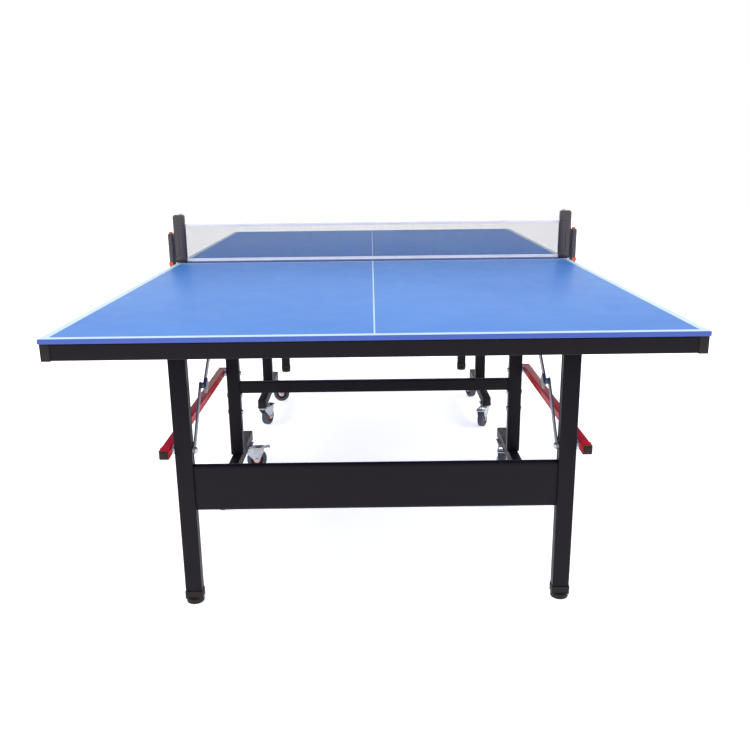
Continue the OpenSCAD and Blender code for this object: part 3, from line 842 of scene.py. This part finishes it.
def net_pad(name, side):
    """The small ribbed orange pad on a housing's near face."""
    low, high = corners("net_housings")
    z = low.z + PAD_Z
    x = high.x - HOUSING_T
    bm = bmesh.new()
    pad_low = (x + 4 * MM, low.y - 2.5 * MM, z - PAD_H / 2)
    add_block(bm, pad_low, (high.x + 1.2 * MM, low.y + 14 * MM, z + PAD_H / 2), 2 * MM, 4)
    for i in range(PAD_RIBS):
        at = z + (i - (PAD_RIBS - 1) / 2) * RIB_PITCH
        rib_low = (x + 6 * MM, low.y - 3.2 * MM, at - RIB_H / 2)
        add_block(bm, rib_low, (high.x + 1.9 * MM, low.y + 12 * MM, at + RIB_H / 2), 0.6 * MM, 2)
    mirror_to(bm, side)
    add_mesh(name, from_bmesh(bm, name), "orange_plastic", BODY["net_housings"])


def net_button(node):
    """A release button with a crowned top and three grip ribs."""
    low, high = corners(node)
    rings = []
    for sides, ends, radius, z in (
        (0, 0, 1.2, low.z),
        (0, 0, 1.2, high.z - 3 * MM),
        (0.3, 0.4, 1.4, high.z - 1.8 * MM),
        (1.3, 1.6, 1.6, high.z - 0.9 * MM),
        (2.6, 3.4, 1.4, high.z - 0.7 * MM),
    ):
        rings.append(set_in((low.x, high.x, low.y, high.y), sides, sides, ends, radius, z))
    bm = bmesh.new()
    add_loft(bm, rings)
    y = (low.y + high.y) / 2
    for i in (-1, 0, 1):
        at = y + i * 3.6 * MM
        rib_low = (low.x + 1.6 * MM, at - 0.7 * MM, high.z - 1.6 * MM)
        add_block(bm, rib_low, (high.x - 1.6 * MM, at + 0.7 * MM, high.z), 0.4 * MM, 2)
    add_mesh(node + "_cap", from_bmesh(bm, node + "_cap"), "orange_plastic", BODY[node], [node])


# ---------- Making ----------

for half in ("near", "far"):
    playing_surface(half)
    for tail, slot, width in (
        ("apron", "black_steel", 0.8 * MM),
        ("hinge_rails", "black_steel", 0.6 * MM),
        ("corner_caps", "black_plastic", 1.6 * MM),
        ("legs", "black_steel", 0.5 * MM),
        ("leg_panel", "black_steel", 0.8 * MM),
        ("foot_caps", "black_plastic", 1.2 * MM),
        ("links", "red_steel", 0.6 * MM),
        ("stay_upper", "zinc_steel", 0.5 * MM),
        ("stay_lower", "zinc_steel", 0.5 * MM),
        ("posts", "black_steel", 0.5 * MM),
        ("crossbar", "black_steel", 0.5 * MM),
        ("base_beams", "black_steel", 0.6 * MM),
        ("caster_mounts", "zinc_steel", 0.4 * MM),
        ("hinge_rivets", "zinc_steel", 0.7 * MM),
        ("leg_bolts", "zinc_steel", 0.3 * MM),
        ("post_bolts", "zinc_steel", 0.6 * MM),
    ):
        softened(half + "_" + tail, slot, width, "stay_steel" if "stay" in tail else None)
    link_low, link_high = corners(half + "_links")
    end_caps(half + "_links", link_high.z - link_low.z)
    end_caps(half + "_base_beams", BEAM_W)
    for side in ("left", "right"):
        for place in ("inner", "outer"):
            caster = "_".join((half, side, place))
            softened(caster + "_fork", "zinc_steel", 0.4 * MM)
            if place == "inner":
                softened(caster + "_brake", "zinc_steel", 0.4 * MM)
            caster_wheel(caster)

right_post = net_post("net_posts_right", 1)
net_post("net_posts_left", -1)
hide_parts("net_posts")
net_pieces()
right_housing = net_housing("net_housing_right", 1)
net_housing("net_housing_left", -1)
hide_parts("net_housings")
for word, side in (("left", -1), ("right", 1)):
    net_knob("net_knob_" + word, side)
    net_pad("net_pad_" + word, side)
    net_button("net_button_" + word)

# ---------- Floor, light and camera ----------

FLOOR = 14.0
FLOOR_Z = -0.5 * MM
FLOOR_GLOW = 0.6
bm = bmesh.new()
bmesh.ops.create_grid(bm, x_segments=4, y_segments=4, size=FLOOR)
floor = bpy.data.objects.new("floor", from_bmesh(bm, "floor"))
floor.location.z = FLOOR_Z
bpy.context.scene.collection.objects.link(floor)
paper = Finish("paper", specular=0.2)
paper.colour(paper.ramp(paper.noise(3, 3), [(0.3, (0.86, 0.86, 0.87, 1)), (0.7, (0.9, 0.9, 0.905, 1))]))
paper.roughness(paper.noise(20, 3), 0.7, 0.85)
paper.shader.inputs["Emission Color"].default_value = (1, 1, 1, 1)
paper.shader.inputs["Emission Strength"].default_value = FLOOR_GLOW
floor.data.materials.append(paper.material)

world = bpy.data.worlds.new("studio")
world.use_nodes = True
world.node_tree.nodes["Background"].inputs["Color"].default_value = (1.0, 1.0, 1.0, 1)
world.node_tree.nodes["Background"].inputs["Strength"].default_value = 1.0
bpy.context.scene.world = world


def soft_light(name, place, target, size, power):
    """A rectangular light aimed at the target, which shows in no reflection."""
    light = bpy.data.lights.new(name, "AREA")
    light.shape = "RECTANGLE"
    light.size, light.size_y = size
    light.energy = power
    holder = bpy.data.objects.new(name, light)
    holder.location = place
    holder.visible_glossy = False
    aim = Vector(target) - Vector(place)
    holder.rotation_euler = aim.to_track_quat("-Z", "Y").to_euler()
    bpy.context.scene.collection.objects.link(holder)


soft_light("key", place=(-2.6, -3.2, 4.2), target=(0, -0.2, 0.5), size=(2.6, 2.6), power=130)
soft_light("fill", place=(3.4, -1.4, 2.8), target=(0, 0, 0.5), size=(2.2, 2.2), power=50)
soft_light("back", place=(0.5, 4.6, 3.4), target=(0, 0, 0.7), size=(3.2, 1.6), power=80)

# The camera looks along +Y, tipped down by the pitch; angles in radians, lens and sensor in millimetres
CAMERA_PLACE = (-0.004672, -3.138399, 1.14546)
PITCH = 0.264032619
YAW = -0.00259995507
ROLL = -0.0118991127
LENS = 38.485632
SENSOR = 36
FAR_CLIP = 60
cy, sy = math.cos(YAW), math.sin(YAW)
cp, sp = math.cos(PITCH), math.sin(PITCH)
cr, sr = math.cos(ROLL), math.sin(ROLL)
turn_yaw = Matrix(((cy, sy, 0), (-sy, cy, 0), (0, 0, 1)))
stand = Matrix(((1, 0, 0), (0, 0, -1), (0, 1, 0)))
turn_pitch = Matrix(((1, 0, 0), (0, cp, -sp), (0, sp, cp)))
turn_roll = Matrix(((cr, -sr, 0), (sr, cr, 0), (0, 0, 1)))
seen_axes = turn_roll @ turn_pitch @ stand @ turn_yaw
camera_data = bpy.data.cameras.new("camera")
camera_data.sensor_width = SENSOR
camera_data.lens = LENS
camera_data.clip_end = FAR_CLIP
camera = bpy.data.objects.new("camera", camera_data)
# The axes so far have Y down and Z ahead; a camera object has Y up and Z behind
turned = seen_axes.transposed() @ Matrix.Diagonal((1, -1, -1))
camera.matrix_world = Matrix.Translation(CAMERA_PLACE) @ turned.to_4x4()
bpy.context.scene.collection.objects.link(camera)
bpy.context.scene.camera = camera
bpy.context.scene.view_settings.view_transform = "Standard"
